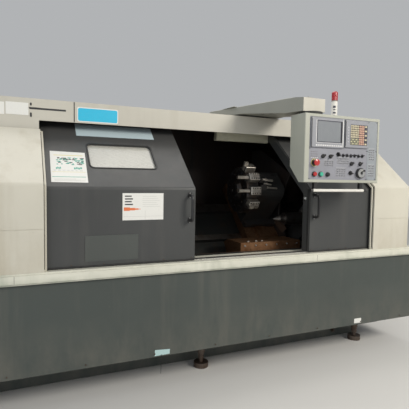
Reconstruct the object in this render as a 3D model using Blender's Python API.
"""A slant-bed CNC turning lathe with two sliding doors and a swinging control pendant.

Metres, +Z up. +X runs along the spindle from the headstock to the tailstock, and +Y runs from the
operator to the back of the machine. Pieces are drawn from the plane of the doors' lower front, and the
machine empty then moves that plane so that the world origin is under the middle of the whole machine.
"""
import math

import bmesh
import bpy
from mathutils import Matrix, Vector

# Clearances
SEAT_GAP = 0.0003
RUN_GAP = 0.0004
PASS_GAP = 0.010
OVERRUN = 0.020

# Sheet metal
SHEET = 0.012
LIP = 0.030
BEND_RADIUS = 0.028
EDGE_SOFT = 0.004

# Base, ledge and covers
BODY_LENGTH = 4.600
COVER_LENGTH = 4.380
UNDERSIDE = 0.160
PANEL_BOTTOM = 0.249
LEDGE_BOTTOM = 0.851
LEDGE_TOP = 0.925
LEDGE_REACH = 0.060
LEDGE_DEPTH = 0.200
PANEL_SETBACK = 0.035
BACK_Y = 1.500
ROOF_RISE = 0.626
FASCIA_Y = 0.430
FASCIA_RISE = 0.473
LOW_FASCIA_DROP = 0.078
COVER_PROUD = 0.050
COVER_TOP_Y = 0.405
LEFT_COVER_EDGE = -0.959
RIGHT_COVER_EDGE = 1.751
SEAM_HEIGHT = 1.195
SEAM_WIDTH = 0.005

# Doors
BEND_HEIGHT = 1.460
DOOR_SLOPE = math.radians(40.3)
DOOR_TOP_Y = 0.620
DOOR_DEPTH = 0.090
LEFT_DOOR_EDGE = 0.072
LEFT_DOOR_WIDTH = 1.760
RIGHT_DOOR_EDGE = 1.100
RIGHT_DOOR_WIDTH = 0.990
RAIL_HEIGHT = 0.005
RAIL_WIDTH = 0.050
RAIL_INSET = 0.020
WINDOW_LEFT = -0.658
WINDOW_WIDTH = 0.480
WINDOW_LOW = 0.212
WINDOW_RISE = 0.275
WINDOW_CORNER = 0.030
PANE_MARGIN = 0.018
PANE_THICK = 0.008
PATCH_LEFT = -0.720
PATCH_WIDTH = 0.360
PATCH_LOW = 0.966
PATCH_RISE = 0.173
PATCH_PROUD = 0.003
HANDLE_LOW = 1.215
HANDLE_LENGTH = 0.205
HANDLE_REACH = 0.062
HANDLE_THICK = 0.022
HANDLE_CORNER = 0.025
HANDLE_INSET = 0.048
DOOR_EDGE_ROUND = 0.008

# Slanted bed and spindle line
SLANT = math.radians(45)
AXIS_Y = 0.405
AXIS_Z = 1.175
SWING = 0.420
AXIS_ALONG = 0.346
WAY_RISE = 0.040
LOW_WAY = (0.000, 0.090)
TAIL_WAY_LOW = (0.190, 0.250)
TAIL_WAY_HIGH = (0.450, 0.510)
HIGH_WAY = (0.800, 0.900)
BED_LEFT = -1.620
BED_RIGHT = 2.080
BED_BACK = 1.300
TROUGH_WALL = 0.060
TROUGH_FLOOR = 0.600
FOOT_INSET = 0.230
FOOT_PAD = 0.060
FOOT_PAD_HIGH = 0.040
FOOT_SCREW = 0.018
FOOT_NUT = 0.032
FOOT_NUT_LOW = 0.120
FRONT_FEET_SHARES = (0.0, 0.5, 1.0)
REAR_FEET_SHARES = (0.0, 0.5, 1.0)
TANK_INSET = 0.120
TANK_FRONT_Y = 0.360
LEDGE_SIDE = 0.160
LEDGE_SOFT = 0.012
LOW_FASCIA_STEP = 0.024
SLOT_LEFT = -1.160
SLOT_LENGTH = 0.190
SLOT_WIDTH = 0.008
SLOT_DROP = 0.071
COVER_EDGE_ROUND = 0.018
CHAMBER_TOP_Y = 0.560
CHAMBER_RIGHT = 1.950
WALL_START = 0.010
TRAY_DEPTH = 0.120
TRAY_THICK = 0.010

# Headstock, spindle and drive
HEADSTOCK_RIGHT = -0.740
HEADSTOCK_WIDTH = 0.400
HEADSTOCK_TOP = 0.210
HEAD_FLANGE = 0.070
HEAD_FLANGE_HIGH = 0.050
HEAD_ROUND = 0.070
CHUCK_CHAMFER = 0.012
JAWS = 3
MOTOR_BORE = 0.060
SPINDLE_RADIUS = 0.080
NOSE_RADIUS = 0.105
NOSE_LENGTH = 0.120
PULLEY_WIDTH = 0.100
SPINDLE_PULLEY_RADIUS = 0.150
MOTOR_PULLEY_RADIUS = 0.080
MOTOR_Y = 0.780
MOTOR_Z = 0.620
MOTOR_RADIUS = 0.160
MOTOR_LENGTH = 0.330
MOTOR_SHAFT_RADIUS = 0.025
BELT_THICK = 0.010
CHUCK_RADIUS = 0.155
CHUCK_LENGTH = 0.150
JAW_WIDTH = 0.036
JAW_DEPTH = 0.050
JAW_LENGTH = 0.088
JAW_TONGUE = 0.018
JAW_INNER = 0.040

# Carriage, turret and tailstock
SADDLE_LEFT = 0.890
SADDLE_RIGHT = 1.240
SADDLE_THICK = 0.100
SADDLE_START = -0.020
APRON_LEFT = 0.620
APRON_FRONT = 0.300
APRON_TOP = 0.985
APRON_BOTTOM = 0.800
APRON_BACK = 0.560
KEY_WIDTH = 0.120
KEY_HEIGHT = 0.020
SADDLE_END = 1.100
TURRET_TRAVEL_REST = 0.360
DISC_LEFT = 0.760
DISC_THICK = 0.120
DISC_RADIUS = 0.215
STATIONS = 12
DISC_CHAMFER = 0.012
HUB_RADIUS = 0.070
HUB_LENGTH = 0.030
HOUSING_LENGTH = 0.300
HOUSING_HALF = 0.145
SLIDE_HALF = 0.200
SLIDE_THICK = 0.045
HOLDER_REACH = 0.058
HOLDER_WIDTH = 0.100
HOLDER_BREADTH_SHARE = 0.72
HOLDERS = ((7, "turning"), (6, "boring"), (5, "boring"), (4, "turning"))
TOOL_TIP_RADIUS = 0.300
SHANK = 0.025
BAR_RADIUS = 0.016
BAR_REACH = 0.165
GUARD_THICK = 0.010
GUARD_EDGE = ((1.020, 1.845), (0.482, 1.589), (0.639, 1.334), (0.666, 1.154), (0.555, 1.027))
TAIL_LEFT = 1.360
TAIL_LENGTH = 0.440
QUILL_RADIUS = 0.055
QUILL_REACH = 0.240
QUILL_INSIDE = 0.160
QUILL_BORE = 0.300
TAIL_HALF = 0.175
TAIL_BASE = 0.060
TAIL_WAIST = 0.085
TAIL_HEAD = 0.110
CENTRE_SOCKET = 0.018
SOCKET_DEPTH = 0.050
CENTRE_BODY = 0.050
CENTRE_RADIUS = 0.030
CENTRE_LENGTH = 0.120

# Lamps, cabinet and signal tower
CABINET_LEFT = 0.500
CABINET_WIDTH = 1.400
CABINET_LOW = 0.450
CABINET_HIGH = 1.950
CABINET_DEPTH = 0.330
CABINET_DOOR_THICK = 0.024
CABINET_TRAY = 0.150
CABINET_GEAR = 0.180
SWITCH_INSET = 0.140
SWITCH_SHARE = 0.62
SWITCH_RADIUS = 0.038
SWITCH_SUNK = 0.016
LAMP_LEFT = 0.560
LAMP_LENGTH = 0.560
LAMP_Y = 0.700
LAMP_DEPTH = 0.060
LAMP_DROP = 0.196
LAMP_HEIGHT = 0.080
TOWER_X = 1.975
TOWER_Y = 0.760
TOWER_RADIUS = 0.032
TOWER_BODY = 0.300
LENS_HEIGHT = 0.095
LENS_CROWN_SHARE = 0.7
TOWER_FLANGE = 0.050
TOWER_RINGS = 2

# Pendant
ARM_PIVOT_X = 0.900
ARM_PIVOT_Y = 0.620
ARM_THICK = 0.065
ARM_NOSE_FALL = 0.012
ARM_NOSE_LENGTH = 0.110
ARM_PIVOT_GAP = 0.012
ARM_PIVOT_RADIUS = 0.150
ARM_NEAR_INSET = 0.044
ARM_NEAR_LEFT = 0.830
ARM_NEAR_WIDTH = 0.200
ARM_FAR_LEFT = 0.530
ARM_FAR_RIGHT = 1.110
ARM_FAR_Y = 0.800
ARM_CLEAR = 0.050
ARM_UNDER_Y = -0.080
PENDANT_FRONT = -0.287
PENDANT_LEFT = 0.816
PENDANT_WIDTH = 0.732
PENDANT_DROP = 0.056
PENDANT_HEIGHT = 0.513
PENDANT_DEPTH = 0.180
PENDANT_FOOT_DEPTH = 0.060
PENDANT_TAPER = 0.123
PENDANT_RIM = 0.008
PANEL_LEFT_RIM = 0.042
PANEL_RIM = 0.022
PANEL_SUNK = 0.003
UNIT_PROUD = 0.012
POCKET = 0.004
# Each unit: its name, finish, place and size on the pendant, then its pocket's place and size
UNITS = (
    ("display_unit", "screen_glass", (0.050, 0.262), (0.310, 0.222), (0.050, 0.040, 0.238, 0.164)),
    ("keypad_unit", "panel_grey", (0.370, 0.272), (0.236, 0.212), (0.052, 0.022, 0.172, 0.158)),
)
# Each control: its name, place as shares of the pendant's width and height, radius, finish and kind
CONTROLS = (
    ("emergency_stop", 0.130, 0.290, 0.024, "red_plastic", "mushroom"),
    ("feed_hold_button", 0.130, 0.122, 0.016, "red_plastic", "button"),
    ("cycle_start_button", 0.212, 0.122, 0.016, "green_plastic", "button"),
    ("mode_selector", 0.236, 0.388, 0.0155, "black_plastic", "selector"),
    ("feed_selector", 0.332, 0.388, 0.0155, "black_plastic", "selector"),
    ("speed_selector", 0.616, 0.290, 0.0155, "black_plastic", "selector"),
    ("handwheel", 0.735, 0.150, 0.041, "black_plastic", "wheel"),
)
BUTTON_REACH = 0.020
MUSHROOM_REACH = 0.034
BUTTON_SEAT = 0.004
BUTTON_TRAVEL = 0.004
STEM_INSIDE = 0.0015
STEM_KINDS = ("button", "mushroom")
CONTROL_SIDES = 20
KNOB_BASE = 0.008
KNOB_REACH = 0.022
KNOB_LEAN = math.radians(50)
WHEEL_REACH = 0.024
CRANK_SHARE = 0.45
CRANK_LENGTH = 0.016
CRANK_RADIUS = 0.007
SWIVEL_HIGH = 0.020
SWIVEL_X = 0.930
SWIVEL_Y = -0.196
SWIVEL_RADIUS = 0.088
RAIL_RADIUS = 0.0115
GRAB_RAIL_DROP = 0.061
GRAB_RAIL_INSIDE = 0.025
RAIL_START = 0.083
RAIL_SHORT = 0.108
BRACKET_PLACES = (0.108, 0.556)
BRACKET_WIDTH = 0.026
BRACKET_THICK = 0.018

# Colours, roughness and metal of each finish
FINISHES = {
    "cream_paint": ((0.80, 0.77, 0.68), 0.45, 0.0),
    "door_grey_paint": ((0.10, 0.105, 0.105), 0.40, 0.0),
    "base_grey_paint": ((0.09, 0.11, 0.10), 0.50, 0.0),
    "cast_grey": ((0.16, 0.18, 0.17), 0.60, 0.3),
    "machined_steel": ((0.45, 0.45, 0.45), 0.35, 1.0),
    "worn_steel": ((0.22, 0.15, 0.10), 0.60, 0.8),
    "black_plastic": ((0.02, 0.02, 0.02), 0.40, 0.0),
    "window_pane": ((0.55, 0.54, 0.50), 0.15, 0.0),
    "panel_grey": ((0.32, 0.32, 0.38), 0.50, 0.0),
    "screen_glass": ((0.25, 0.29, 0.32), 0.15, 0.0),
    "white_rail": ((0.82, 0.80, 0.76), 0.40, 0.0),
    "red_plastic": ((0.60, 0.02, 0.02), 0.35, 0.0),
    "green_plastic": ((0.05, 0.35, 0.22), 0.35, 0.0),
    "lamp_lens": ((0.62, 0.66, 0.58), 0.30, 0.0),
    "belt_rubber": ((0.03, 0.03, 0.03), 0.80, 0.0),
    "guard_sheet": ((0.07, 0.06, 0.06), 0.55, 0.4),
}

ACROSS = {
    "x": lambda p, a: (a, p[0], p[1]),
    "y": lambda p, a: (p[0], a, p[1]),
    "z": lambda p, a: (p[0], p[1], a),
}
RUN = math.tan(DOOR_SLOPE)
HALF_BODY = BODY_LENGTH / 2
HALF_COVER = COVER_LENGTH / 2
ROOF_TOP = BEND_HEIGHT + ROOF_RISE
FASCIA_BOTTOM = BEND_HEIGHT + FASCIA_RISE
PENDANT_HIGH = ROOF_TOP - PENDANT_DROP
PENDANT_LOW = PENDANT_HIGH - PENDANT_HEIGHT
FRONT_Y = PENDANT_FRONT + PANEL_SUNK - RUN_GAP - WHEEL_REACH - CRANK_LENGTH
REAR_Y = BACK_Y + SHEET + SEAT_GAP + CABINET_DEPTH + SEAT_GAP + CABINET_DOOR_THICK
SEAT = LEDGE_TOP + SEAT_GAP
bodies = {}
body_places = {}


def outline_offset(path, distance):
    """The path moved to its left by distance, with mitred corners."""
    sides = []
    for (ay, az), (by, bz) in zip(path, path[1:]):
        length = math.hypot(by - ay, bz - az)
        sides.append((-(bz - az) / length, (by - ay) / length))
    moved = []
    for k, (y, z) in enumerate(path):
        first, last = sides[max(k - 1, 0)], sides[min(k, len(sides) - 1)]
        spread = 1 + first[0] * last[0] + first[1] * last[1]
        moved.append((y + distance * (first[0] + last[0]) / spread,
                      z + distance * (first[1] + last[1]) / spread))
    return moved


def band(path, near, far):
    """The closed outline between two offsets of a path."""
    return outline_offset(path, near) + outline_offset(path, far)[::-1]


def rounded(points, radius, steps=3, closed=True):
    """An outline with an arc in place of each corner, or of each inner corner of an open path."""
    result = []
    count = len(points)
    for k, corner in enumerate(points):
        if not closed and k in (0, count - 1):
            result.append(corner)
            continue
        here = Vector(corner)
        back = Vector(points[k - 1]) - here
        ahead = Vector(points[(k + 1) % count]) - here
        half = back.angle(ahead) / 2
        if math.pi / 2 - half < math.radians(1):
            result.append(corner)
            continue
        reach = min(radius / math.tan(half), back.length / 2, ahead.length / 2)
        centre = here + (back.normalized() + ahead.normalized()).normalized() * (reach / math.cos(half))
        start = here + back.normalized() * reach - centre
        end = here + ahead.normalized() * reach - centre
        first = math.atan2(start.y, start.x)
        turn = (math.atan2(end.y, end.x) - first + math.pi) % math.tau - math.pi
        for step in range(steps + 1):
            angle = first + turn * step / steps
            result.append((centre.x + start.length * math.cos(angle),
                           centre.y + start.length * math.sin(angle)))
    return result


def bent_sheet(path, depth):
    """The closed outline of a folded sheet: its rounded front line, and a line inward by depth."""
    return rounded(path, BEND_RADIUS, closed=False) + outline_offset(path, -depth)[::-1]


def prism(outline, axis, start, end):
    """A solid with the given outline across one axis, from start to end along it."""
    bm = bmesh.new()
    place = ACROSS[axis]
    base = bm.faces.new([bm.verts.new(place(p, start)) for p in outline])
    grown = bmesh.ops.extrude_face_region(bm, geom=[base])["geom"]
    tips = [g for g in grown if isinstance(g, bmesh.types.BMVert)]
    bmesh.ops.translate(bm, verts=tips, vec=place((0, 0), end - start))
    bmesh.ops.recalc_face_normals(bm, faces=bm.faces)
    return bm


def block(low, high, soft=0.0):
    """A box between two corners, with chamfered edges if soft is given."""
    corners = [(low[1], low[2]), (high[1], low[2]), (high[1], high[2]), (low[1], high[2])]
    bm = prism(corners, "x", low[0], high[0])
    if soft:
        bmesh.ops.bevel(bm, geom=bm.edges[:], offset=soft, segments=1, affect="EDGES")
    return bm


def turned(profile, axis, centre, sides=32, turn=0.5):
    """A solid of revolution. The profile is (place along the axis, radius) from one end to the other."""
    bm = bmesh.new()
    place = ACROSS[axis]
    rings = []
    for along, radius in profile:
        if radius == 0:
            rings.append([bm.verts.new(place((centre[0], centre[1]), along))])
            continue
        ring = []
        for k in range(sides):
            angle = math.tau * (k + turn) / sides
            point = (centre[0] + radius * math.cos(angle), centre[1] + radius * math.sin(angle))
            ring.append(bm.verts.new(place(point, along)))
        rings.append(ring)
    for low, high in zip(rings, rings[1:]):
        for k in range(sides):
            n = (k + 1) % sides
            corners = [low[k % len(low)], low[n % len(low)], high[n % len(high)], high[k % len(high)]]
            bm.faces.new(list(dict.fromkeys(corners)))
    for ring in (rings[0], rings[-1]):
        if len(ring) > 1:
            bm.faces.new(ring)
    bmesh.ops.recalc_face_normals(bm, faces=bm.faces)
    return bm


def hole_radius(shaft_radius, sides=32, gap=RUN_GAP):
    """The corner radius of a many-sided hole whose flats clear a shaft by the gap."""
    return (shaft_radius + gap) / math.cos(math.pi / sides)


def swept(path, radius, sides=10):
    """A round bar along a path of points, with flat ends."""
    bm = bmesh.new()
    points = [Vector(p) for p in path]
    rings = []
    normal = None
    for k, point in enumerate(points):
        ahead = points[min(k + 1, len(points) - 1)] - points[max(k - 1, 0)]
        ahead.normalize()
        if normal is None:
            normal = ahead.orthogonal().normalized()
        normal = (normal - ahead * normal.dot(ahead)).normalized()
        side = ahead.cross(normal)
        ring = []
        for s in range(sides):
            angle = math.tau * s / sides
            ring.append(bm.verts.new(point + radius * (math.cos(angle) * normal + math.sin(angle) * side)))
        rings.append(ring)
    for low, high in zip(rings, rings[1:]):
        for s in range(sides):
            n = (s + 1) % sides
            bm.faces.new((low[s], low[n], high[n], high[s]))
    bm.faces.new(rings[0])
    bm.faces.new(rings[-1])
    bmesh.ops.recalc_face_normals(bm, faces=bm.faces)
    return bm


def soften_edges(bm, chosen, width, steps=2):
    """Rounds the edges for which chosen(vertex, vertex) is true."""
    edges = [e for e in bm.edges if chosen(e.verts[0].co, e.verts[1].co)]
    bmesh.ops.bevel(bm, geom=edges, offset=width, segments=steps, affect="EDGES", clamp_overlap=True)
    return bm


def leaned(bm, origin, angle):
    """Turns a shape drawn as (x, along, out) onto a plane that rises to the back at an angle."""
    rise = Matrix.Rotation(angle, 4, "X")
    bm.transform(Matrix.Translation((0, origin[0], origin[1])) @ rise)
    return bm


def on_slope(bm):
    """Moves a shape drawn as (x, along, out) onto the doors' upper slope, from the bend upwards."""
    return leaned(bm, (0, BEND_HEIGHT), DOOR_SLOPE)


def bed_point(along, out):
    """The (y, z) of a point on the slanted bed: along the ways, and out from their top."""
    foot_y = AXIS_Y + SWING * math.sin(SLANT) - AXIS_ALONG * math.cos(SLANT)
    foot_z = AXIS_Z - SWING * math.cos(SLANT) - AXIS_ALONG * math.sin(SLANT)
    return (foot_y + along * math.cos(SLANT) - out * math.sin(SLANT),
            foot_z + along * math.sin(SLANT) + out * math.cos(SLANT))


def bed_outline(points):
    """An outline on the slanted bed, turned into (y, z)."""
    return [bed_point(along, out) for along, out in points]


def add_body(name, place, parent="machine"):
    """An empty on a joint's axis, which carries the pieces that move together."""
    empty = bpy.data.objects.new(name + "_joint", None)
    bpy.context.collection.objects.link(empty)
    body_places[name] = Vector(place)
    if parent is not None:
        empty.parent = bodies[parent]
        empty.location = Vector(place) - body_places[parent]
    bodies[name] = empty
    return empty


def finish_material(name):
    """The material of a finish, made once for each piece that wears it."""
    colour, rough, metal = FINISHES[name]
    material = bpy.data.materials.new(name)
    material.use_nodes = True
    shader = material.node_tree.nodes["Principled BSDF"]
    shader.inputs["Base Color"].default_value = (*colour, 1)
    shader.inputs["Roughness"].default_value = rough
    shader.inputs["Metallic"].default_value = metal
    return material


def place_mesh(name, bm, body):
    """An object made of a drawn shape, carried by a body's empty."""
    bm.transform(Matrix.Translation(-body_places[body]))
    mesh = bpy.data.meshes.new(name)
    bm.to_mesh(mesh)
    bm.free()
    piece = bpy.data.objects.new(name, mesh)
    bpy.context.collection.objects.link(piece)
    piece.parent = bodies[body]
    return piece


def make(name, bm, body, finish, cuts=(), joins=(), late_joins=(), smooth=False):
    """A finished piece: its shape, the shapes joined to it, those cut from it, then late ones joined."""
    piece = place_mesh(name, bm, body)
    piece.data.materials.append(finish_material(finish))
    steps = (("join", "UNION", joins), ("cut", "DIFFERENCE", cuts), ("late", "UNION", late_joins))
    for step, kind, shapes in steps:
        for k, shape in enumerate(shapes):
            tool = place_mesh(f"{name}_{step}_{k + 1}", shape, body)
            tool.hide_render = True
            tool.display_type = "WIRE"
            change = piece.modifiers.new(tool.name, "BOOLEAN")
            change.operation = kind
            change.object = tool
    if smooth:
        piece.data.shade_smooth()
        piece.data.set_sharp_from_angle(angle=math.radians(35))


def door_path(proud=0.0, low=0.0, top_y=DOOR_TOP_Y):
    """The doors' front line from low up over the bend, moved out by proud."""
    bend_shift = proud * math.tan((math.pi / 2 - DOOR_SLOPE) / 2)
    bend = BEND_HEIGHT + bend_shift
    return [(-proud, low), (-proud, bend), (top_y, bend + (top_y + proud) * RUN)]


def foot_shape(share, y, top):
    """A levelling foot, turned as one: its pad, jacking screw and lock nut."""
    x = BED_LEFT + FOOT_INSET + share * (BED_RIGHT - BED_LEFT - 2 * FOOT_INSET)
    profile = [(0, FOOT_PAD), (FOOT_PAD_HIGH, FOOT_PAD), (FOOT_PAD_HIGH, FOOT_SCREW),
               (FOOT_NUT_LOW, FOOT_SCREW), (FOOT_NUT_LOW, FOOT_NUT), (top, FOOT_NUT)]
    return turned(profile, "z", (x, y), sides=16)


def make_bed():
    """The slant bed with its chip trough in front, four ways and its rear feet, as one casting."""
    front = -PANEL_SETBACK + LEDGE_DEPTH + SEAT_GAP
    inner = front + TROUGH_WALL
    floor_along = (TROUGH_FLOOR - bed_point(0, 0)[1]) / math.sin(SLANT) + WAY_RISE / math.tan(SLANT)
    ground = -WAY_RISE
    slant = [(floor_along, ground)]
    for start, end in (LOW_WAY, TAIL_WAY_LOW, TAIL_WAY_HIGH, HIGH_WAY):
        slant += [(start, ground), (start, 0), (end, 0), (end, ground)]
    top = bed_point(HIGH_WAY[1], ground)
    outline = [(front, UNDERSIDE), (front, LEDGE_TOP), (inner, LEDGE_TOP), (inner, TROUGH_FLOOR)]
    outline += bed_outline(slant) + [(BED_BACK, top[1]), (BED_BACK, UNDERSIDE)]
    bm = prism(outline, "x", BED_LEFT, BED_RIGHT)
    feet = [foot_shape(share, BED_BACK - FOOT_INSET, UNDERSIDE + EDGE_SOFT) for share in REAR_FEET_SHARES]
    make("bed_casting", bm, "machine", "base_grey_paint", joins=feet)


def make_feet():
    """Three levelling feet under the bed's front edge."""
    y = LEDGE_DEPTH - PANEL_SETBACK + FOOT_PAD
    for k, share in enumerate(FRONT_FEET_SHARES):
        foot = foot_shape(share, y, UNDERSIDE - SEAT_GAP)
        make(f"levelling_foot_{k + 1}", foot, "machine", "worn_steel", smooth=True)


def make_base():
    """The coolant tank, the lower wrap-around panel and the ledge that the doors and covers stand on."""
    tank_low = (BED_LEFT + TANK_INSET, TANK_FRONT_Y, 0)
    tank_high = (BED_RIGHT - TANK_INSET, BED_BACK - 2 * FOOT_INSET, UNDERSIDE - SEAT_GAP)
    make("coolant_tank", block(tank_low, tank_high, EDGE_SOFT), "machine", "base_grey_paint")
    front = -LEDGE_REACH + PANEL_SETBACK
    outer = [(-HALF_BODY, BACK_Y - SEAT_GAP), (-HALF_BODY, front), (HALF_BODY, front),
             (HALF_BODY, BACK_Y - SEAT_GAP)]
    panel = prism(band(outer, 0, SHEET), "z", PANEL_BOTTOM, LEDGE_BOTTOM - SEAT_GAP)
    make("lower_front_panel", panel, "machine", "base_grey_paint")
    outer = [(-HALF_BODY, BACK_Y - SEAT_GAP), (-HALF_BODY, -LEDGE_REACH), (HALF_BODY, -LEDGE_REACH),
             (HALF_BODY, BACK_Y - SEAT_GAP)]
    ledge_back = -PANEL_SETBACK + LEDGE_DEPTH
    side = HALF_BODY - LEDGE_SIDE
    ring = outer + [(side, BACK_Y - SEAT_GAP), (side, ledge_back), (-side, ledge_back),
                    (-side, BACK_Y - SEAT_GAP)]
    ledge = prism(ring, "z", LEDGE_BOTTOM, LEDGE_TOP)
    nose = -LEDGE_REACH + EDGE_SOFT
    soften_edges(ledge, lambda a, b: max(a.y, b.y) < nose and abs(a.x - b.x) > side, LEDGE_SOFT)
    make("front_ledge", ledge, "machine", "cream_paint")
    rail = block((-HALF_COVER + 2 * SHEET, RAIL_INSET, SEAT),
                 (HALF_COVER - 2 * SHEET, RAIL_INSET + RAIL_WIDTH, SEAT + RAIL_HEIGHT))
    make("door_rail", rail, "machine", "machined_steel")


def end_outline():
    """The outline of a cover's end wall, under the roof sheet."""
    path = door_path(COVER_PROUD, SEAT, COVER_TOP_Y)
    top = ROOF_TOP - SHEET - SEAT_GAP
    return path + [(FASCIA_Y + SHEET + SEAT_GAP, path[-1][1]), (FASCIA_Y + SHEET + SEAT_GAP, top),
                   (BACK_Y - SEAT_GAP, top), (BACK_Y - SEAT_GAP, SEAT)]


def make_cover(name, end_x, edge_x):
    """A fixed front cover: a deep bent pan with a soft edge beside the door, and the machine's end wall."""
    path = door_path(COVER_PROUD, SEAT, COVER_TOP_Y)
    low_x, high_x = sorted((end_x, edge_x))
    bm = prism(bent_sheet(path, LIP), "x", low_x, high_x)
    front = {(round(y, 5), round(z, 5)) for y, z in rounded(path, BEND_RADIUS, closed=False)}
    on_front = lambda v: (round(v.y, 5), round(v.z, 5)) in front and abs(v.x - edge_x) < EDGE_SOFT
    soften_edges(bm, lambda a, b: on_front(a) and on_front(b), COVER_EDGE_ROUND, 3)
    inset = math.copysign(SHEET, end_x - edge_x)
    hollow_low, hollow_high = sorted((end_x + 2 * math.copysign(OVERRUN, end_x - edge_x), edge_x + inset))
    hollow_path = door_path(COVER_PROUD, SEAT + SHEET, COVER_TOP_Y - SHEET)
    hollow = prism(band(hollow_path, -SHEET, -LIP - OVERRUN), "x", hollow_low, hollow_high)
    wall_low, wall_high = sorted((end_x, end_x - inset))
    wall = prism(end_outline(), "x", wall_low, wall_high)
    seam = block((low_x - OVERRUN, -COVER_PROUD - OVERRUN, SEAM_HEIGHT),
                 (high_x + OVERRUN, -COVER_PROUD + SEAM_WIDTH / 2, SEAM_HEIGHT + SEAM_WIDTH))
    make(name, bm, "machine", "cream_paint", cuts=[hollow, seam], late_joins=[wall])


def make_roof():
    """The roof sheet with its fascia, the rear cover, and the lamp under the roof."""
    path = [(FASCIA_Y, FASCIA_BOTTOM), (FASCIA_Y, ROOF_TOP), (BACK_Y + SHEET, ROOF_TOP)]
    roof = prism(band(path, 0, -SHEET), "x", -HALF_COVER, HALF_COVER)
    drop = block((-HALF_COVER + SHEET + SEAT_GAP, FASCIA_Y, FASCIA_BOTTOM - LOW_FASCIA_DROP),
                 (LEFT_COVER_EDGE - LOW_FASCIA_STEP, FASCIA_Y + SHEET, FASCIA_BOTTOM + SHEET))
    slot = block((SLOT_LEFT, FASCIA_Y - OVERRUN, ROOF_TOP - SLOT_DROP),
                 (SLOT_LEFT + SLOT_LENGTH, FASCIA_Y + SHEET / 2, ROOF_TOP - SLOT_DROP + SLOT_WIDTH))
    make("roof_cover", roof, "machine", "cream_paint", cuts=[slot], joins=[drop])
    back = block((-HALF_COVER, BACK_Y, PANEL_BOTTOM),
                 (HALF_COVER, BACK_Y + SHEET, ROOF_TOP - SHEET - SEAT_GAP))
    make("rear_cover", back, "machine", "cream_paint")
    post_x = LAMP_LEFT + LAMP_LENGTH / 2
    lamp_low = ROOF_TOP - LAMP_DROP
    lamp = block((LAMP_LEFT, LAMP_Y, lamp_low),
                 (LAMP_LEFT + LAMP_LENGTH, LAMP_Y + LAMP_DEPTH, lamp_low + LAMP_HEIGHT), EDGE_SOFT)
    post = block((post_x - LAMP_DEPTH, LAMP_Y + EDGE_SOFT, lamp_low + EDGE_SOFT),
                 (post_x + LAMP_DEPTH, LAMP_Y + LAMP_DEPTH - EDGE_SOFT, ROOF_TOP - SHEET - SEAT_GAP))
    make("work_lamp", lamp, "machine", "lamp_lens", joins=[post])


def make_chamber():
    """The side walls of the work space and the chip tray in the trough."""
    depth = DOOR_DEPTH + PASS_GAP
    front = outline_offset(door_path(0, SEAT, CHAMBER_TOP_Y), -depth)
    low = bed_point(LOW_WAY[0] + WALL_START, SEAT_GAP)
    high = bed_point(HIGH_WAY[1], SEAT_GAP)
    wall = front + [(BED_BACK, front[-1][1]), (BED_BACK, high[1]), high, low,
                    (low[0], SEAT)]
    hole_ends = (HEADSTOCK_RIGHT - OVERRUN, HEADSTOCK_RIGHT + 2 * OVERRUN)
    hole = turned([(x, NOSE_RADIUS + PASS_GAP) for x in hole_ends], "x", (AXIS_Y, AXIS_Z))
    left = prism(wall, "x", HEADSTOCK_RIGHT + SEAT_GAP, HEADSTOCK_RIGHT + SEAT_GAP + SHEET)
    make("chamber_left_wall", left, "machine", "guard_sheet", cuts=[hole])
    right = prism(wall, "x", CHAMBER_RIGHT, CHAMBER_RIGHT + SHEET)
    make("chamber_right_wall", right, "machine", "guard_sheet")
    wall_y = -PANEL_SETBACK + LEDGE_DEPTH + SEAT_GAP + TROUGH_WALL + SEAT_GAP
    floor_z = TROUGH_FLOOR + SEAT_GAP
    path = [(wall_y, LEDGE_TOP), (wall_y, floor_z), (wall_y + TRAY_DEPTH, floor_z)]
    tray = prism(band(path, 0, TRAY_THICK), "x", HEADSTOCK_RIGHT + PASS_GAP, CHAMBER_RIGHT - PASS_GAP)
    make("chip_tray", tray, "machine", "worn_steel")


def around_axis(bm, angle, centre):
    """Turns a shape about a line along X through centre, given as (y, z)."""
    there = Matrix.Translation((0, centre[0], centre[1]))
    bm.transform(there @ Matrix.Rotation(angle, 4, "X") @ there.inverted())
    return bm


def make_headstock():
    """The headstock on the ways, bored for the spindle."""
    low, high = AXIS_ALONG - HEADSTOCK_WIDTH / 2, AXIS_ALONG + HEADSTOCK_WIDTH / 2
    top = SWING + HEADSTOCK_TOP
    outline = [(low - HEAD_FLANGE, SEAT_GAP), (high + HEAD_FLANGE, SEAT_GAP),
               (high + HEAD_FLANGE, HEAD_FLANGE_HIGH), (high, HEAD_FLANGE_HIGH), (high, top), (low, top),
               (low, HEAD_FLANGE_HIGH), (low - HEAD_FLANGE, HEAD_FLANGE_HIGH)]
    outline[4:6] = rounded(outline, HEAD_ROUND, 2)[12:18]
    bm = prism(bed_outline(outline), "x", BED_LEFT, HEADSTOCK_RIGHT)
    bore = turned([(BED_LEFT - OVERRUN, hole_radius(SPINDLE_RADIUS)),
                   (HEADSTOCK_RIGHT + OVERRUN, hole_radius(SPINDLE_RADIUS))], "x", (AXIS_Y, AXIS_Z))
    make("headstock", bm, "machine", "cast_grey", cuts=[bore])


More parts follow.
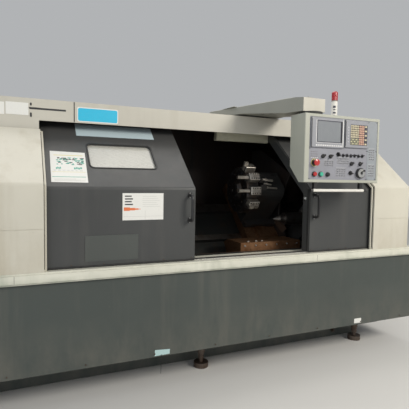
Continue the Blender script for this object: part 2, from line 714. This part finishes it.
def make_spindle():
    """The spindle with its rear pulley and nose, and the chuck with three stepped jaws."""
    axis = (AXIS_Y, AXIS_Z)
    pulley_left = BED_LEFT - MOTOR_LENGTH - PASS_GAP - PULLEY_WIDTH
    nose = HEADSTOCK_RIGHT + NOSE_LENGTH
    face = nose + SEAT_GAP + CHUCK_LENGTH
    add_body("spindle", (nose, *axis))
    profile = [(pulley_left, SPINDLE_PULLEY_RADIUS), (pulley_left + PULLEY_WIDTH, SPINDLE_PULLEY_RADIUS),
               (pulley_left + PULLEY_WIDTH, SPINDLE_RADIUS), (HEADSTOCK_RIGHT + RUN_GAP, SPINDLE_RADIUS),
               (HEADSTOCK_RIGHT + RUN_GAP, NOSE_RADIUS), (nose, NOSE_RADIUS)]
    make("spindle_shaft", turned(profile, "x", axis), "spindle", "machined_steel", smooth=True)
    profile = [(nose + SEAT_GAP, CHUCK_RADIUS - CHUCK_CHAMFER),
               (nose + SEAT_GAP + CHUCK_CHAMFER, CHUCK_RADIUS),
               (face - CHUCK_CHAMFER, CHUCK_RADIUS), (face, CHUCK_RADIUS - CHUCK_CHAMFER)]
    half = JAW_WIDTH / 2 + RUN_GAP
    slots = []
    for k in range(JAWS):
        slot = block((face - JAW_TONGUE, AXIS_Y - half, AXIS_Z),
                     (face + OVERRUN, AXIS_Y + half, AXIS_Z + CHUCK_RADIUS + OVERRUN))
        slots.append(around_axis(slot, math.tau * k / JAWS, axis))
    make("chuck_body", turned(profile, "x", axis, 48), "spindle", "machined_steel", cuts=slots, smooth=True)
    base = face - JAW_TONGUE + RUN_GAP
    tip = face + JAW_DEPTH
    inner, outer = AXIS_Z + JAW_INNER, AXIS_Z + JAW_INNER + JAW_LENGTH
    rise, fall = JAW_LENGTH / 3, JAW_DEPTH / 3
    steps = [(base, inner), (tip, inner), (tip, inner + rise), (tip - fall, inner + rise),
             (tip - fall, inner + 2 * rise), (tip - 2 * fall, inner + 2 * rise), (tip - 2 * fall, outer),
             (base, outer)]
    for k in range(JAWS):
        body = f"jaw_{k + 1}"
        add_body(body, (face, *axis), "spindle")
        jaw = prism(steps, "y", AXIS_Y - JAW_WIDTH / 2, AXIS_Y + JAW_WIDTH / 2)
        make(f"chuck_jaw_{k + 1}", around_axis(jaw, math.tau * k / JAWS, axis), body, "machined_steel")


def belt_outline(first, first_radius, second, second_radius, steps=20):
    """The outline of a belt round two pulleys, given their centres and radii."""
    span = Vector(second) - Vector(first)
    lean = math.atan2(span.y, span.x)
    wrap = math.acos((first_radius - second_radius) / span.length)
    points = []
    for centre, radius, start, end in ((first, first_radius, lean + wrap, lean + math.tau - wrap),
                                       (second, second_radius, lean - wrap, lean + wrap)):
        for k in range(steps + 1):
            angle = start + (end - start) * k / steps
            points.append((centre[0] + radius * math.cos(angle), centre[1] + radius * math.sin(angle)))
    return points


def make_drive():
    """The spindle motor on the bed's end, its pulley and the belt."""
    pulley_left = BED_LEFT - MOTOR_LENGTH - PASS_GAP - PULLEY_WIDTH
    centre = (MOTOR_Y, MOTOR_Z)
    motor_left, motor_right = BED_LEFT - SEAT_GAP - MOTOR_LENGTH, BED_LEFT - SEAT_GAP
    half = MOTOR_RADIUS
    square = [(MOTOR_Y - half, MOTOR_Z - half), (MOTOR_Y + half, MOTOR_Z - half),
              (MOTOR_Y + half, MOTOR_Z + half), (MOTOR_Y - half, MOTOR_Z + half)]
    body = prism(rounded(square, half / 3, 2), "x", motor_left, motor_right)
    bore = turned([(motor_left - OVERRUN, hole_radius(MOTOR_SHAFT_RADIUS, 16)),
                   (motor_left + MOTOR_BORE, hole_radius(MOTOR_SHAFT_RADIUS, 16))], "x", centre, 16)
    make("spindle_motor", body, "machine", "cast_grey", cuts=[bore])
    add_body("motor_pulley", (motor_left, *centre))
    profile = [(pulley_left, MOTOR_PULLEY_RADIUS), (pulley_left + PULLEY_WIDTH, MOTOR_PULLEY_RADIUS),
               (pulley_left + PULLEY_WIDTH, MOTOR_SHAFT_RADIUS),
               (motor_left + MOTOR_BORE - PASS_GAP, MOTOR_SHAFT_RADIUS)]
    make("motor_pulley", turned(profile, "x", centre, 32), "motor_pulley", "machined_steel", smooth=True)
    ends = (pulley_left + PASS_GAP, pulley_left + PULLEY_WIDTH - PASS_GAP)
    loops = []
    for rise in (0, BELT_THICK):
        radii = [hole_radius(r, 32) + rise for r in (SPINDLE_PULLEY_RADIUS, MOTOR_PULLEY_RADIUS)]
        loops.append(belt_outline((AXIS_Y, AXIS_Z), radii[0], centre, radii[1]))
    inside = prism(loops[0], "x", ends[0] - OVERRUN, ends[1] + OVERRUN)
    make("drive_belt", prism(loops[1], "x", *ends), "machine", "belt_rubber", cuts=[inside])


def make_carriage():
    """The saddle on the ways with its apron, the guard on its right, and the cross slide with the turret."""
    add_body("carriage", (SADDLE_LEFT, *bed_point(0, 0)))
    top = SADDLE_THICK
    saddle = [(SADDLE_START, RUN_GAP), (SADDLE_END, RUN_GAP), (SADDLE_END, top), (SADDLE_START, top)]
    apron = [(APRON_FRONT, APRON_BOTTOM), (APRON_FRONT, APRON_TOP), (APRON_BACK, APRON_TOP),
             bed_point(AXIS_ALONG, top), bed_point(LOW_WAY[1], top / 2)]
    middle = (SADDLE_LEFT + SADDLE_RIGHT) / 2
    key = bed_outline([(AXIS_ALONG, top - EDGE_SOFT), (SADDLE_END, top - EDGE_SOFT),
                       (SADDLE_END, top + KEY_HEIGHT), (AXIS_ALONG, top + KEY_HEIGHT)])
    joins = [prism(apron, "x", APRON_LEFT, SADDLE_RIGHT - EDGE_SOFT),
             prism(key, "x", middle - KEY_WIDTH / 2, middle + KEY_WIDTH / 2)]
    make("carriage_saddle", prism(bed_outline(saddle), "x", SADDLE_LEFT, SADDLE_RIGHT), "carriage",
         "worn_steel", joins=joins)
    low = [bed_point(LOW_WAY[1], PASS_GAP), bed_point(SADDLE_END - PASS_GAP, PASS_GAP)]
    guard = [*GUARD_EDGE, *low, (low[1][0], GUARD_EDGE[0][1])]
    guard_left = SADDLE_RIGHT + SEAT_GAP
    make("carriage_guard", prism(guard, "x", guard_left, guard_left + GUARD_THICK), "carriage",
         "guard_sheet")
    centre_along = AXIS_ALONG + TURRET_TRAVEL_REST
    centre = bed_point(centre_along, SWING)
    add_body("cross_slide", (DISC_LEFT, *centre), "carriage")
    foot = top + RUN_GAP
    low, high = centre_along - SLIDE_HALF, centre_along + SLIDE_HALF
    slide = [(low, foot), (high, foot), (high, foot + SLIDE_THICK), (low, foot + SLIDE_THICK)]
    low, high = centre_along - HOUSING_HALF, centre_along + HOUSING_HALF
    housing = [(low, foot + EDGE_SOFT), (high, foot + EDGE_SOFT), (high, SWING + HOUSING_HALF),
               (low, SWING + HOUSING_HALF)]
    housing = housing[:2] + rounded(housing, HOUSING_HALF / 2)[8:]
    house_left = DISC_LEFT + DISC_THICK + RUN_GAP
    groove_half = KEY_WIDTH / 2 + RUN_GAP
    groove_end, groove_top = SADDLE_END + SLIDE_HALF, top + KEY_HEIGHT + RUN_GAP
    groove = bed_outline([(0, 0), (groove_end, 0), (groove_end, groove_top), (0, groove_top)])
    make("cross_slide", prism(bed_outline(slide), "x", SADDLE_LEFT, SADDLE_RIGHT - PASS_GAP), "cross_slide",
         "cast_grey", joins=[prism(bed_outline(housing), "x", house_left, house_left + HOUSING_LENGTH)],
         cuts=[prism(groove, "x", middle - groove_half, middle + groove_half)])
    make_turret(centre)


def make_turret(centre):
    """The turret disc with a flat for each station, and four tool holders on its front."""
    add_body("turret", (DISC_LEFT, *centre), "cross_slide")
    right = DISC_LEFT + DISC_THICK
    profile = [(DISC_LEFT - HUB_LENGTH, HUB_RADIUS), (DISC_LEFT, HUB_RADIUS + HUB_LENGTH),
               (DISC_LEFT, DISC_RADIUS - DISC_CHAMFER), (DISC_LEFT + DISC_CHAMFER, DISC_RADIUS),
               (right - DISC_CHAMFER, DISC_RADIUS), (right, DISC_RADIUS - DISC_CHAMFER)]
    make("turret_disc", turned(profile, "x", centre, STATIONS), "turret", "machined_steel")
    flat = DISC_RADIUS * math.cos(math.pi / STATIONS) + SEAT_GAP
    middle = DISC_LEFT + DISC_THICK / 2
    half_x, half_w = HOLDER_WIDTH / 2, HOLDER_WIDTH * HOLDER_BREADTH_SHARE / 2
    for k, (share, kind) in enumerate(HOLDERS):
        angle = share * math.tau / STATIONS
        low = (middle - half_x, centre[0] - half_w, centre[1] + flat)
        high = (middle + half_x, centre[0] + half_w, centre[1] + flat + HOLDER_REACH)
        holder = block(low, high, EDGE_SOFT)
        if kind == "turning":
            tool_low = centre[1] + flat + SHANK / 2
            tool = block((middle - half_x - SHANK / 2, centre[0] - SHANK / 2, tool_low),
                         (middle - half_x + SHANK, centre[0] + SHANK / 2, centre[1] + TOOL_TIP_RADIUS))
        else:
            bar_z = centre[1] + flat + HOLDER_REACH / 2
            bar_ends = (middle - BAR_REACH, right - PASS_GAP)
            tool = turned([(x, BAR_RADIUS) for x in bar_ends], "x", (centre[0], bar_z), 12)
        around_axis(holder, angle - math.pi / 2, centre)
        around_axis(tool, angle - math.pi / 2, centre)
        make(f"tool_holder_{k + 1}", holder, "turret", "machined_steel", joins=[tool])


def make_tailstock():
    """The tailstock on its own ways, its quill and the live centre."""
    axis = (AXIS_Y, AXIS_Z)
    add_body("tailstock", (TAIL_LEFT, *axis))
    here = AXIS_ALONG
    outline = [(here - TAIL_HALF, RUN_GAP), (here + TAIL_HALF, RUN_GAP), (here + TAIL_HALF, TAIL_BASE),
               (here + TAIL_WAIST, TAIL_BASE + TAIL_HEAD), (here + TAIL_HEAD, SWING),
               (here + TAIL_HEAD, SWING + TAIL_HEAD / 2), (here + TAIL_HEAD / 2, SWING + TAIL_HEAD),
               (here - TAIL_HEAD / 2, SWING + TAIL_HEAD), (here - TAIL_HEAD, SWING + TAIL_HEAD / 2),
               (here - TAIL_HEAD, SWING), (here - TAIL_WAIST, TAIL_BASE + TAIL_HEAD),
               (here - TAIL_HALF, TAIL_BASE)]
    bore_ends = (TAIL_LEFT - OVERRUN, TAIL_LEFT + QUILL_BORE)
    bore = turned([(x, hole_radius(QUILL_RADIUS)) for x in bore_ends], "x", axis)
    make("tailstock_body", prism(bed_outline(outline), "x", TAIL_LEFT, TAIL_LEFT + TAIL_LENGTH), "tailstock",
         "cast_grey", cuts=[bore])
    quill_left = TAIL_LEFT - QUILL_REACH
    add_body("quill", (quill_left, *axis), "tailstock")
    socket = turned([(quill_left - OVERRUN, hole_radius(CENTRE_SOCKET, 16)),
                     (quill_left + SOCKET_DEPTH, hole_radius(CENTRE_SOCKET, 16))], "x", axis, 16)
    quill_ends = (quill_left, TAIL_LEFT + QUILL_INSIDE)
    make("tailstock_quill", turned([(x, QUILL_RADIUS) for x in quill_ends], "x", axis), "quill",
         "machined_steel", cuts=[socket], smooth=True)
    add_body("live_centre", (quill_left, *axis), "quill")
    front = quill_left - RUN_GAP
    profile = [(front - CENTRE_LENGTH, 0), (front - CENTRE_BODY, CENTRE_RADIUS), (front, CENTRE_RADIUS),
               (front, CENTRE_SOCKET), (quill_left + SOCKET_DEPTH - PASS_GAP, CENTRE_SOCKET)]
    make("live_centre", turned(profile, "x", axis, 16), "live_centre", "machined_steel", smooth=True)


def make_handle(name, x, body):
    """A round D-handle that stands on a door's lower front."""
    reach = [(-SEAT_GAP, HANDLE_LOW + HANDLE_THICK / 2), (-HANDLE_REACH, HANDLE_LOW + HANDLE_THICK / 2),
             (-HANDLE_REACH, HANDLE_LOW + HANDLE_LENGTH - HANDLE_THICK / 2),
             (-SEAT_GAP, HANDLE_LOW + HANDLE_LENGTH - HANDLE_THICK / 2)]
    path = [(x, y, z) for y, z in rounded(reach, HANDLE_CORNER, 3, closed=False)]
    make(name, swept(path, HANDLE_THICK / 2), body, "black_plastic", smooth=True)


def door_pan(low_x, high_x):
    """A door's bent front sheet with flanges all round, and the hollow to be cut from its back."""
    bottom = SEAT + RAIL_HEIGHT + SEAT_GAP
    path = door_path(0, bottom)
    bm = prism(bent_sheet(path, DOOR_DEPTH), "x", low_x, high_x)
    front = {(round(y, 5), round(z, 5)) for y, z in rounded(path, BEND_RADIUS, closed=False)}
    on_front = lambda v: (round(v.y, 5), round(v.z, 5)) in front
    along_side = lambda a, b: on_front(a) and on_front(b) and abs(a.x - b.x) < EDGE_SOFT
    soften_edges(bm, along_side, DOOR_EDGE_ROUND)
    hollow_path = door_path(0, bottom + SHEET, DOOR_TOP_Y - SHEET)
    hollow = prism(band(hollow_path, -SHEET, -DOOR_DEPTH - OVERRUN), "x", low_x + SHEET, high_x - SHEET)
    return bm, hollow


def window_outline(margin):
    """The left door's window on its slope, as (x, distance above the bend), grown by a margin."""
    left, low = WINDOW_LEFT - margin, WINDOW_LOW - margin
    right, high = WINDOW_LEFT + WINDOW_WIDTH + margin, WINDOW_LOW + WINDOW_RISE + margin
    return rounded([(left, low), (right, low), (right, high), (left, high)], WINDOW_CORNER)


def make_doors():
    """The two sliding doors with their handles, and the left door's window pane."""
    left = LEFT_DOOR_EDGE - LEFT_DOOR_WIDTH
    add_body("left_door", (left, 0, SEAT))
    bm, hollow = door_pan(left, LEFT_DOOR_EDGE)
    opening = on_slope(prism(window_outline(0), "z", -SHEET - OVERRUN, OVERRUN))
    patch = block((PATCH_LEFT, -PATCH_PROUD, PATCH_LOW),
                  (PATCH_LEFT + PATCH_WIDTH, SHEET / 2, PATCH_LOW + PATCH_RISE))
    make("left_door", bm, "left_door", "door_grey_paint", cuts=[hollow, opening], joins=[patch])
    back = -SHEET - SEAT_GAP
    pane = on_slope(prism(window_outline(PANE_MARGIN), "z", back - PANE_THICK, back))
    make("left_door_window", pane, "left_door", "window_pane")
    make_handle("left_door_handle", LEFT_DOOR_EDGE - HANDLE_INSET, "left_door")
    add_body("right_door", (RIGHT_DOOR_EDGE, 0, SEAT))
    bm, hollow = door_pan(RIGHT_DOOR_EDGE, RIGHT_DOOR_EDGE + RIGHT_DOOR_WIDTH)
    make("right_door", bm, "right_door", "door_grey_paint", cuts=[hollow])
    make_handle("right_door_handle", RIGHT_DOOR_EDGE + HANDLE_INSET, "right_door")


def make_arm():
    """The pivot on the roof, and the tapered arm that carries the pendant."""
    top = ROOF_TOP + SEAT_GAP
    pivot = (ARM_PIVOT_X, ARM_PIVOT_Y)
    deck = top + ARM_PIVOT_GAP
    make("arm_pivot", turned([(top, ARM_PIVOT_RADIUS), (deck - RUN_GAP, ARM_PIVOT_RADIUS)], "z", pivot, 40),
         "machine", "black_plastic", smooth=True)
    add_body("pendant_arm", (*pivot, deck))
    near_y = SWIVEL_Y - SWIVEL_RADIUS + ARM_NEAR_INSET
    plan = [(ARM_NEAR_LEFT, near_y), (ARM_NEAR_LEFT + ARM_NEAR_WIDTH, near_y),
            (ARM_FAR_RIGHT, ARM_FAR_Y), (ARM_FAR_LEFT, ARM_FAR_Y)]
    back_y, crown = ARM_FAR_Y + OVERRUN, deck + ARM_THICK
    arm = prism(plan, "z", PENDANT_HIGH + SWIVEL_HIGH + SEAT_GAP, crown)
    soften_edges(arm, lambda a, b: min(a.z, b.z) > crown - EDGE_SOFT, EDGE_SOFT, 1)
    below = [(near_y - OVERRUN, PENDANT_HIGH), (ARM_UNDER_Y, PENDANT_HIGH + SWIVEL_HIGH),
             (FASCIA_Y - ARM_CLEAR, deck), (back_y, deck), (back_y, PENDANT_HIGH)]
    nose = [(near_y - ARM_NOSE_LENGTH, crown - 2 * ARM_NOSE_FALL), (near_y + ARM_NOSE_LENGTH, crown),
            (near_y - ARM_NOSE_LENGTH, crown + OVERRUN)]
    cuts = [prism(shape, "x", ARM_FAR_LEFT - OVERRUN, ARM_FAR_RIGHT + OVERRUN) for shape in (below, nose)]
    make("pendant_arm", arm, "pendant_arm", "cream_paint", cuts=cuts)


def make_pendant():
    """The control pendant: its tapered box, panel, display and key units, controls and grab rail."""
    swivel = (SWIVEL_X, SWIVEL_Y)
    add_body("pendant", (*swivel, PENDANT_HIGH), "pendant_arm")
    right = PENDANT_LEFT + PENDANT_WIDTH
    back = PENDANT_FRONT + PENDANT_DEPTH
    side = [(PENDANT_FRONT, PENDANT_LOW), (PENDANT_FRONT + PENDANT_FOOT_DEPTH, PENDANT_LOW),
            (back, PENDANT_LOW + PENDANT_TAPER), (back, PENDANT_HIGH), (PENDANT_FRONT, PENDANT_HIGH)]
    box = prism(side, "x", PENDANT_LEFT, right)
    soften_edges(box, lambda a, b: max(a.y, b.y) < PENDANT_FRONT + EDGE_SOFT, EDGE_SOFT, 1)
    disc_ends = (PENDANT_HIGH - OVERRUN, PENDANT_HIGH + SWIVEL_HIGH - RUN_GAP)
    disc = turned([(z, SWIVEL_RADIUS) for z in disc_ends], "z", swivel)
    panel_low = (PENDANT_LEFT + PANEL_LEFT_RIM, PENDANT_FRONT, PENDANT_LOW + PANEL_RIM)
    panel_high = (right - PANEL_RIM, PENDANT_FRONT + PENDANT_RIM, PENDANT_HIGH - PANEL_RIM)
    recess = block((panel_low[0] - SEAT_GAP, PENDANT_FRONT - OVERRUN, panel_low[2] - SEAT_GAP),
                   (panel_high[0] + SEAT_GAP, panel_high[1] + SEAT_GAP, panel_high[2] + SEAT_GAP))
    make("pendant_box", box, "pendant", "cream_paint", joins=[disc], cuts=[recess])
    face = PENDANT_FRONT + PANEL_SUNK
    low = (panel_low[0], face, panel_low[2])
    holes = []
    for name, x_share, z_share, radius, finish, kind in CONTROLS:
        if kind in STEM_KINDS:
            hole = hole_radius(radius / 2, CONTROL_SIDES)
            bore = [(y, hole) for y in (face - OVERRUN, panel_high[1] + OVERRUN)]
            holes.append(turned(bore, "y", control_place(x_share, z_share), CONTROL_SIDES))
    make("panel_plate", block(low, panel_high), "pendant", "panel_grey", cuts=holes)
    for name, finish, place, size, window in UNITS:
        front = face - SEAT_GAP
        x, z = PENDANT_LEFT + place[0], PENDANT_LOW + place[1]
        unit = block((x, front - UNIT_PROUD, z), (x + size[0], front, z + size[1]))
        soften_edges(unit, lambda a, b: max(a.y, b.y) < front - EDGE_SOFT, EDGE_SOFT, 1)
        wx, wz = x + window[0], z + window[1]
        pocket = block((wx, front - UNIT_PROUD - OVERRUN, wz),
                       (wx + window[2], front - UNIT_PROUD + POCKET, wz + window[3]))
        make(name, unit, "pendant", finish, cuts=[pocket])
    make_controls(face - RUN_GAP)
    rail_y, rail_z = PENDANT_FRONT + GRAB_RAIL_INSIDE, PENDANT_LOW - GRAB_RAIL_DROP
    rail_ends = (PENDANT_LEFT + RAIL_START, right - RAIL_SHORT)
    rail = turned([(x, RAIL_RADIUS) for x in rail_ends], "x", (rail_y, rail_z), 16, 0)
    half = BRACKET_THICK / 2
    brackets = [block((PENDANT_LEFT + x, rail_y - half, rail_z),
                      (PENDANT_LEFT + x + BRACKET_WIDTH, rail_y + half, PENDANT_LOW - SEAT_GAP))
                for x in BRACKET_PLACES]
    make("grab_rail", rail, "pendant", "white_rail", joins=brackets)


def control_place(x_share, z_share):
    """The (x, z) of a control on the pendant's front."""
    return (PENDANT_LEFT + x_share * PENDANT_WIDTH, PENDANT_LOW + z_share * PENDANT_HEIGHT)


def make_controls(face):
    """The buttons, with their stems in the panel, and the selectors and handwheel in front of it."""
    skirt = face - BUTTON_SEAT - BUTTON_TRAVEL
    front = face - BUTTON_REACH
    for name, x_share, z_share, radius, finish, kind in CONTROLS:
        place = control_place(x_share, z_share)
        x, z = place
        add_body(name, (x, face, z), "pendant")
        stem = [(skirt, radius / 2), (face + STEM_INSIDE, radius / 2)]
        extras = []
        if kind == "button":
            profile = [(front, radius - EDGE_SOFT), (front + EDGE_SOFT, radius), (skirt, radius), *stem]
        elif kind == "mushroom":
            dome = face - MUSHROOM_REACH
            profile = [(dome - EDGE_SOFT, radius / 2), (dome, radius), (dome + 2 * EDGE_SOFT, radius), *stem]
        elif kind == "selector":
            profile = [(face - KNOB_BASE, radius), (face, radius)]
            grip = block((x - radius / 3, face - KNOB_REACH, z - radius),
                         (x + radius / 3, face - KNOB_BASE / 2, z + radius))
            turn = Matrix.Rotation(KNOB_LEAN, 3, "Y")
            bmesh.ops.rotate(grip, cent=(x, face, z), matrix=turn, verts=grip.verts)
            extras.append(grip)
        else:
            front_y = face - WHEEL_REACH
            skirt_y = face - EDGE_SOFT
            profile = [(front_y, radius - EDGE_SOFT), (front_y + EDGE_SOFT, radius), (skirt_y, radius),
                       (skirt_y, radius / 2), (face, radius / 2)]
            crank = [(y, CRANK_RADIUS) for y in (front_y - CRANK_LENGTH, front_y + EDGE_SOFT)]
            extras.append(turned(crank, "y", (x + radius * CRANK_SHARE, z + radius * CRANK_SHARE), 12))
        make(name, turned(profile, "y", place, CONTROL_SIDES), name, finish, joins=extras, smooth=not extras)


def make_cabinet():
    """The electrical cabinet on the back, its hinged door and the main switch on that door."""
    front = BACK_Y + SHEET + SEAT_GAP
    back = front + CABINET_DEPTH
    right = CABINET_LEFT + CABINET_WIDTH
    box = block((CABINET_LEFT, front, CABINET_LOW), (right, back, CABINET_HIGH))
    hollow = block((CABINET_LEFT + SHEET, front + SHEET, CABINET_LOW + SHEET),
                   (right - SHEET, back + OVERRUN, CABINET_HIGH - SHEET))
    tray = block((CABINET_LEFT + SHEET / 2, front + SHEET / 2, CABINET_LOW + CABINET_TRAY),
                 (right - SHEET / 2, front + CABINET_GEAR, CABINET_HIGH - CABINET_TRAY))
    make("electrical_cabinet", box, "machine", "cream_paint", cuts=[hollow], late_joins=[tray])
    door_low, door_high = back + SEAT_GAP, back + SEAT_GAP + CABINET_DOOR_THICK
    hinge = (CABINET_LEFT, door_high)
    add_body("cabinet_door", (*hinge, CABINET_LOW))
    door = block((CABINET_LEFT, door_low, CABINET_LOW), (right, door_high, CABINET_HIGH))
    shaft_x, shaft_z = right - SWITCH_INSET, CABINET_LOW + SWITCH_SHARE * (CABINET_HIGH - CABINET_LOW)
    half = SWITCH_RADIUS + PASS_GAP
    pocket = block((shaft_x - half, door_high - SWITCH_SUNK, shaft_z - half),
                   (shaft_x + half, door_high + OVERRUN, shaft_z + half))
    make("cabinet_door", door, "cabinet_door", "cream_paint", cuts=[pocket])
    add_body("main_switch", (shaft_x, door_high, shaft_z), "cabinet_door")
    base = door_high - SWITCH_SUNK + RUN_GAP
    profile = [(base, SWITCH_RADIUS), (door_high - EDGE_SOFT, SWITCH_RADIUS)]
    grip = block((shaft_x - SWITCH_RADIUS / 4, base + EDGE_SOFT, shaft_z - SWITCH_RADIUS + EDGE_SOFT),
                 (shaft_x + SWITCH_RADIUS / 4, door_high, shaft_z + SWITCH_RADIUS - EDGE_SOFT))
    dial = turned(profile, "y", (shaft_x, shaft_z), CONTROL_SIDES)
    make("main_switch", dial, "main_switch", "red_plastic", joins=[grip])


def make_tower():
    """The signal tower on the roof: a pale stack with a red lens on top."""
    foot = ROOF_TOP + SEAT_GAP
    place = (TOWER_X, TOWER_Y)
    r = TOWER_RADIUS
    profile = [(foot, TOWER_FLANGE), (foot + EDGE_SOFT, TOWER_FLANGE), (foot + EDGE_SOFT, r)]
    for k in range(TOWER_RINGS):
        z = foot + TOWER_BODY * (k + 1) / (TOWER_RINGS + 1)
        profile += [(z - EDGE_SOFT, r), (z, r - EDGE_SOFT / 2), (z + EDGE_SOFT, r)]
    top = foot + TOWER_BODY
    profile.append((top, r))
    make("signal_tower", turned(profile, "z", place, 24), "machine", "white_rail", smooth=True)
    profile = [(top + SEAT_GAP, r - EDGE_SOFT), (top + EDGE_SOFT, r), (top + LENS_HEIGHT - r / 3, r),
               (top + LENS_HEIGHT, r * LENS_CROWN_SHARE)]
    make("signal_lens", turned(profile, "z", place, 24), "machine", "red_plastic", smooth=True)


for old in list(bpy.data.objects):
    bpy.data.objects.remove(old, do_unlink=True)
add_body("machine", (0, 0, 0), None)
make_bed()
make_feet()
make_base()
make_cover("left_cover", -HALF_COVER, LEFT_COVER_EDGE)
make_cover("right_cover", HALF_COVER, RIGHT_COVER_EDGE)
make_roof()
make_chamber()
make_headstock()
make_spindle()
make_drive()
make_carriage()
make_tailstock()
make_doors()
make_arm()
make_pendant()
make_cabinet()
make_tower()
bodies["machine"].location.y = -(FRONT_Y + REAR_Y) / 2
bpy.context.view_layer.update()
